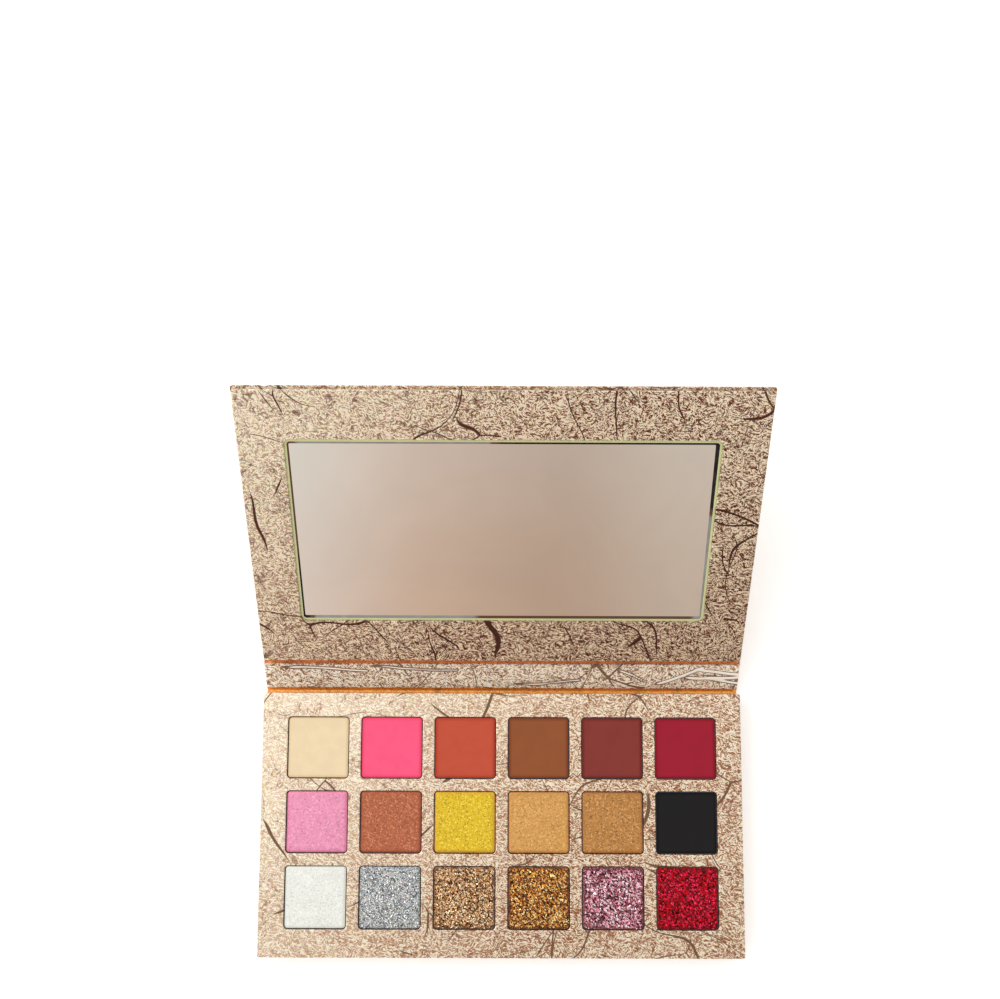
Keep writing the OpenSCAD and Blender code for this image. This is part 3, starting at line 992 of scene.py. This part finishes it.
def mirror_edge(low, high, face):
    """Painted highlight and band of painted reflection round the glass, inside the opening's outline."""
    bm = bmesh.new()
    level_sheet(bm, low, high, face + 0.16 * MM)
    bmesh.ops.bevel(bm, geom=bm.verts[:], offset=sizes().mirror_corner * 0.92, offset_type="OFFSET",
                    affect="VERTICES", segments=8, profile=0.5, material=-1, clamp_overlap=True)
    ring = bmesh.ops.inset_region(bm, faces=bm.faces[:], thickness=0.95 * MM, depth=0.0,
                                  use_even_offset=True, use_boundary=True)
    inner = [f for f in bm.faces if f not in set(ring["faces"])]
    band = bmesh.ops.inset_region(bm, faces=inner, thickness=0.75 * MM, depth=0.0,
                                  use_even_offset=True, use_boundary=True)
    for index, strip in enumerate((ring, band)):
        for item in strip["faces"]:
            item.material_index = index
    core = [f for f in bm.faces if f not in set(ring["faces"]) | set(band["faces"])]
    # the band of painted reflection is wider along the bottom, and grows wider up the right side
    middle, top = (low.y + high.y) / 2, high.y
    for vert in core[0].verts:
        vert.co.z = face + 0.03 * MM
        if vert.co.y < low.y + 6 * MM:
            vert.co.y += 0.45 * MM
        if vert.co.x > high.x - 6 * MM:
            vert.co.x -= 0.9 * MM * min(max((vert.co.y - middle) / (top - middle), 0.0), 1.0)
    bmesh.ops.delete(bm, geom=core, context="FACES")
    cut_up(bm, low, high, 24, 12)
    backing = bm.verts.layers.float.new("backing")
    for vert in bm.verts:
        across, along = ((vert.co[i] - low[i]) / (high[i] - low[i]) for i in (0, 1))
        vert[backing] = reflection_tone(across, along)
    for vert in new_verts(bmesh.ops.extrude_edge_only(bm, edges=[e for e in bm.edges if e.is_boundary])):
        vert.co.z = face + 0.005 * MM
    face_up(bm)
    piece = finish_mesh("mirror_edge", bm, LID_PLACE, smooth=False)
    piece.data.materials.append(shared("polished_glass_edge", edge_highlight))
    piece.data.materials.append(shared("bevel_backing", edge_band))
    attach(piece, "lid")


def glitter_layer(shade, low, high, seed, flake_length, count):
    """Thousands of small tilted flakes lying in the top of a pan."""
    s = sizes()
    rng = random.Random(900 + seed)
    half_x = (high.x - low.x) / 2 - s.rim_shown - 0.3 * flake_length
    half_y = (high.y - low.y) / 2 - s.rim_shown - 0.3 * flake_length
    centre = (low + high) / 2
    bm = bmesh.new()
    tone = bm.faces.layers.float.new("flake_tone")
    hue = bm.faces.layers.float_color.new("flake_hue")
    for _ in range(round(count * s.flake_share)):
        x = rng.uniform(-half_x, half_x)
        y = rng.uniform(-half_y, half_y)
        x, y = corner_rounded(x, y, half_x, half_y, FLAKE_CORNER)
        inward = max(edge_distance(x, y, half_x, half_y, FLAKE_CORNER), 0.0)
        z = high.z + s.shoulder_drop * (1 - 0.8 * (1 - min(inward / s.shoulder, 1.0)) ** 2) - 0.03 * MM
        length = flake_length * rng.uniform(0.6, 1.25)
        width = length * rng.uniform(0.34, 0.6)
        spin = rng.gauss(math.radians(-50), math.radians(38))
        tilt = Matrix.Rotation(rng.gauss(0, 0.22), 3, "X") @ Matrix.Rotation(rng.gauss(0, 0.22), 3, "Y")
        turn = tilt @ Matrix.Rotation(spin, 3, "Z")
        lift = rng.uniform(-0.05, 0.07) * MM
        corners = []
        for a, b in FLAKE_OUTLINE:
            corner = turn @ Vector((a * length, b * width, 0))
            corners.append(bm.verts.new(centre.xy.to_3d() + Vector((x, y, z + lift)) + corner))
        face = bm.faces.new(corners)
        face.normal_update()
        if face.normal.z < 0:
            face.normal_flip()
        face[tone] = rng.random()
        hue_turn = rng.random() * math.tau
        face[hue] = (0.5 + 0.3 * math.cos(hue_turn), 0.5 + 0.3 * math.cos(hue_turn - 2.1),
                     0.5 + 0.3 * math.cos(hue_turn - 4.2), 1.0)
    piece = finish_mesh(f"flakes_{shade}", bm, smooth=False)
    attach(piece, "base")
    return piece


def dress(node, material):
    """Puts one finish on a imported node."""
    mesh = frame["nodes"][node].data
    mesh.materials.clear()
    mesh.materials.append(material)


# --- Stage ---

def soft_light(name, place, target, size, power, colour):
    """Rectangular lamp turned towards a point."""
    data = bpy.data.lights.new(name, "AREA")
    data.shape = "RECTANGLE"
    data.size, data.size_y = size
    data.energy = power
    data.color = colour
    lamp = add_object(name, data)
    lamp.location = place
    lamp.rotation_euler = (Vector(target) - Vector(place)).to_track_quat("-Z", "Y").to_euler()


def studio_world():
    """Pale surroundings, brighter to the left, with a dim warm patch up in front that the mirror shows."""
    world = bpy.data.worlds.new("studio")
    bpy.context.scene.world = world
    world.use_nodes = True
    w = Nodes(world.node_tree, "Generated")

    def facing(direction, low, high, to_low=0.0, to_high=1.0):
        """How far a point of the surroundings lies in a direction."""
        aim = w.vector("DOT_PRODUCT", w.coords, Vector(direction).normalized())
        return w.span(aim, low, high, to_low, to_high)

    lower = facing((0.1, -0.9, 0.25), 0.72, 0.92)
    left = w.mix(lower, (0.60, 0.55, 0.49), (0.56, 0.43, 0.36))
    ahead = w.mix(lower, (0.61, 0.50, 0.43), (0.56, 0.39, 0.285))
    right = w.mix(lower, (0.73, 0.64, 0.55), (0.63, 0.49, 0.39))
    patch = w.mix(facing((1, 0, 0), 0.06, 0.24), ahead, right)
    patch = w.mix(facing((-1, 0, 0), 0.08, 0.26), patch, left)
    surroundings = w.mix(facing((0.03, -0.68, 0.73), 0.79, 0.92), (0.93, 0.915, 0.90), patch)
    strength = facing((-1, 0, 0), -0.12, 0.34, 0.88, 1.3)
    shade = w.add("Background", {"Color": surroundings, "Strength": strength})
    w.add("OutputWorld", {"Surface": shade.outputs[0]})


def studio_camera():
    """Camera almost straight above the hinge, tipped a little towards the lid."""
    data = bpy.data.cameras.new("camera")
    data.sensor_width = 36.0
    data.lens = 28.44
    data.shift_y = 0.1505
    data.clip_start = 0.01
    camera = add_object("camera", data)
    turn = (Matrix.Rotation(math.radians(-0.07), 4, "Y") @ Matrix.Rotation(math.radians(4.62), 4, "X")
            @ Matrix.Rotation(math.radians(0.2), 4, "Z"))
    camera.matrix_world = Matrix.Translation((-0.0014, 0.0478, 0.3548)) @ turn
    bpy.context.scene.camera = camera


# --- Operators: one for each group of pieces, and one for the stage ---

class PALETTE_OT_covers(bpy.types.Operator):
    """Foil paper round the base board and the lid board"""

    bl_idname = "palette.covers"
    bl_label = "Covers"

    def execute(self, context):
        papered_board("base_cover_paper", ["base_wrap"], BASE_PLACE, "base", cover_foil(), -1)
        papered_board("lid_cover_paper", ["lid_wrap"], LID_PLACE, "lid", cover_foil(), 1)
        return {"FINISHED"}


class PALETTE_OT_spine(bpy.types.Operator):
    """Foil paper round the spine board"""

    bl_idname = "palette.spine"
    bl_label = "Spine"

    def execute(self, context):
        papered_board("spine_paper", ["spine_wrap", "spine_liner"], SPINE_PLACE, "spine",
                      spine_foil(), 0, spine_relief)
        return {"FINISHED"}


class PALETTE_OT_creases(bpy.types.Operator):
    """Bending papers in the two hinge grooves"""

    bl_idname = "palette.creases"
    bl_label = "Creases"

    def execute(self, context):
        reach = abs(local_box("spine_liner", SPINE_PLACE)[0].y) + 0.05 * MM
        hinge_paper("base_crease_paper", "base_crease", "spine_hinge",
                    (0.0, SPINE_SLOPE), reach,
                    crease_foil("base_crease_foil", tuple(colours().base_crease)))
        hinge_paper("lid_crease_paper", "lid_crease", "lid_hinge",
                    (SPINE_SLOPE, LID_SLOPE), reach,
                    crease_foil("lid_crease_foil", tuple(colours().lid_crease)))
        return {"FINISHED"}


class PALETTE_OT_tray_paper(bpy.types.Operator):
    """Foil paper over the tray, folded into the eighteen openings"""

    bl_idname = "palette.tray_paper"
    bl_label = "Tray paper"

    def execute(self, context):
        gap = Vector((sizes().opening_gap, sizes().opening_gap, 0))
        openings = [(low - gap, high + gap) for _, _, low, high in pan_boxes()]
        papered_face("tray_paper", "tray_wrap", BASE_PLACE, "base", openings,
                     sizes().opening_corner, OPENING_FOLD, tray_foil())
        return {"FINISHED"}


class PALETTE_OT_frame_paper(bpy.types.Operator):
    """Foil paper over the mirror frame, folded down to the glass"""

    bl_idname = "palette.frame_paper"
    bl_label = "Mirror frame paper"

    def execute(self, context):
        opening = mirror_opening()
        face_high = local_box("frame_wrap", LID_PLACE)[1]
        papered_face("mirror_frame_paper", "frame_wrap", LID_PLACE, "lid", [opening],
                     sizes().mirror_corner, face_high.z - opening[1].z, lid_foil())
        return {"FINISHED"}


class PALETTE_OT_mirror(bpy.types.Operator):
    """Silvered glass, the painted highlight and painted reflection round it, and the tape behind it"""

    bl_idname = "palette.mirror"
    bl_label = "Mirror"

    def execute(self, context):
        low, high = mirror_opening()
        mirror_edge(low, high, high.z)
        dress("mirror", shared("silvered_glass", silvered_glass))
        dress("mirror_tape", shared("film_adhesive", clear_adhesive))
        return {"FINISHED"}


class PALETTE_OT_boards(bpy.types.Operator):
    """Bare boards, adhesive films and magnets inside the case"""

    bl_idname = "palette.boards"
    bl_label = "Boards and magnets"

    def execute(self, context):
        for node in ("base_board", "tray_floor", "tray_grid", "tray_face",
                     "spine_board", "lid_board", "mirror_frame"):
            dress(node, shared("raw_board", grey_board))
        for node in ("base_glue", "lid_glue", "pan_pads"):
            dress(node, shared("film_adhesive", clear_adhesive))
        for node in ("tray_magnets", "lid_magnets"):
            dress(node, shared("magnet_plating", nickel_plate))
        return {"FINISHED"}


class PALETTE_OT_pans(bpy.types.Operator):
    """Tin pans"""

    bl_idname = "palette.pans"
    bl_label = "Pans"

    def execute(self, context):
        for name, _, _, _ in pan_boxes():
            dress(f"pan_{name}", shared("rolled_tin", tin_plate))
        return {"FINISHED"}


class PALETTE_OT_powders(bpy.types.Operator):
    """Matte, shimmer and pearl powders"""

    bl_idname = "palette.powders"
    bl_label = "Pressed powders"

    def execute(self, context):
        for seed, (name, kind, low, high) in enumerate(pan_boxes()):
            colour = tuple(getattr(colours(), name))
            if kind == "matte":
                cake = powder_cake(name, low, high, smooth_relief, seed)
                cake.data.materials.append(matte_powder(f"pressed_{name}", colour))
            elif kind in ("shimmer", "pearl"):
                relief, edge = satin_relief, None
                if name == "gold_shimmer":
                    relief, edge = rayed_relief, GOLD_SHOULDER
                metal, deep = (0.2, 0.72) if kind == "pearl" else (0.45, 0.5)
                cake = powder_cake(name, low, high, relief, seed)
                cake.data.materials.append(
                    shimmer_powder(f"pressed_{name}", colour, GRAIN_CONTRAST[name], metal, deep, edge))
        return {"FINISHED"}


class PALETTE_OT_glitters(bpy.types.Operator):
    """Glitter: a dark binder with thousands of tilted flakes"""

    bl_idname = "palette.glitters"
    bl_label = "Glitters"

    def execute(self, context):
        for seed, (name, kind, low, high) in enumerate(pan_boxes()):
            if kind != "glitter":
                continue
            colour = tuple(getattr(colours(), name))
            *tones, length, count, rainbow = GLITTERS[name]
            dark, bright, spark = (srgb(*tone) for tone in tones)
            bed = powder_cake(name, low, high, bed_relief, seed, grid=40)
            bed.data.materials.append(glitter_bed(f"bed_{name}", dark, colour))
            flakes = glitter_layer(name, low, high, seed, length * MM, count)
            flakes.data.materials.append(
                glitter_flake(f"flakes_{name}", dark, colour, bright, spark, rainbow))
        return {"FINISHED"}


class PALETTE_OT_crumbs(bpy.types.Operator):
    """A few crumbs of soft powder beside the gold pan"""

    bl_idname = "palette.crumbs"
    bl_label = "Crumbs"

    def execute(self, context):
        low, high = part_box("pan_gold_shimmer")
        face_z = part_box("tray_wrap")[1].z
        rng = random.Random(31)
        bm = bmesh.new()
        front = low.y - 1.0 * MM
        for x, y, size in CRUMBS:
            place = Vector((low.x + x * (high.x - low.x), front + y * MM, face_z + 0.3 * size * MM))
            made = bmesh.ops.create_icosphere(bm, subdivisions=2, radius=size * MM)
            for vert in made["verts"]:
                vert.co *= 1 + 0.35 * noise.noise(vert.co * 3000 + Vector((rng.random(), 0, 0)))
                vert.co.z *= 0.6
            bmesh.ops.translate(bm, vec=place, verts=made["verts"])
        piece = finish_mesh("gold_crumbs", bm)
        piece.data.materials.append(bpy.data.materials["pressed_gold_shimmer"])
        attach(piece, "base")
        return {"FINISHED"}


class PALETTE_OT_stage(bpy.types.Operator):
    """Pale floor, soft studio light and the camera"""

    bl_idname = "palette.stage"
    bl_label = "Stage"

    def execute(self, context):
        bm = bmesh.new()
        bmesh.ops.create_grid(bm, x_segments=1, y_segments=1, size=1.5)
        floor = finish_mesh("floor", bm, Matrix.Translation((0, 0, -0.02 * MM)))
        m = Finish("floor_white", Roughness=0.9, Emission_Color=(1, 1, 1, 1), Emission_Strength=0.26)
        n = m.noise(40, detail=2.0)
        m.set("Base Color", m.mix(n, (0.90, 0.90, 0.90), (0.93, 0.93, 0.93)))
        floor.data.materials.append(m.material)
        studio_world()
        for lamp in LAMPS:
            soft_light(*lamp)
        studio_camera()
        context.scene.view_settings.view_transform = "Standard"
        return {"FINISHED"}


# --- Panel, registration and the run ---

class PALETTE_PT_panel(bpy.types.Panel):
    """Lists the palette's sizes, colours and pieces"""

    bl_label = "Eyeshadow palette"
    bl_idname = "PALETTE_PT_panel"
    bl_space_type = "VIEW_3D"
    bl_region_type = "UI"
    bl_category = "Palette"

    def draw(self, context):
        layout = self.layout
        for group in (context.scene.palette_sizes, context.scene.palette_colours):
            box = layout.box()
            for key in group.__annotations__:
                box.prop(group, key)
        for operator in OPERATORS:
            layout.operator(operator.bl_idname)


OPERATORS = (
    PALETTE_OT_covers,
    PALETTE_OT_spine,
    PALETTE_OT_creases,
    PALETTE_OT_tray_paper,
    PALETTE_OT_frame_paper,
    PALETTE_OT_mirror,
    PALETTE_OT_boards,
    PALETTE_OT_pans,
    PALETTE_OT_powders,
    PALETTE_OT_glitters,
    PALETTE_OT_crumbs,
    PALETTE_OT_stage,
)
CLASSES = (PaletteSizes, PaletteColours, *OPERATORS, PALETTE_PT_panel)


def register():
    for item in CLASSES:
        bpy.utils.register_class(item)
    bpy.types.Scene.palette_sizes = PointerProperty(type=PaletteSizes)
    bpy.types.Scene.palette_colours = PointerProperty(type=PaletteColours)


def unregister():
    del bpy.types.Scene.palette_colours
    del bpy.types.Scene.palette_sizes
    for item in reversed(CLASSES):
        bpy.utils.unregister_class(item)


def main():
    register()
    for operator in OPERATORS:
        group, name = operator.bl_idname.split(".")
        getattr(getattr(bpy.ops, group), name)()


if __name__ == "__main__":
    main()
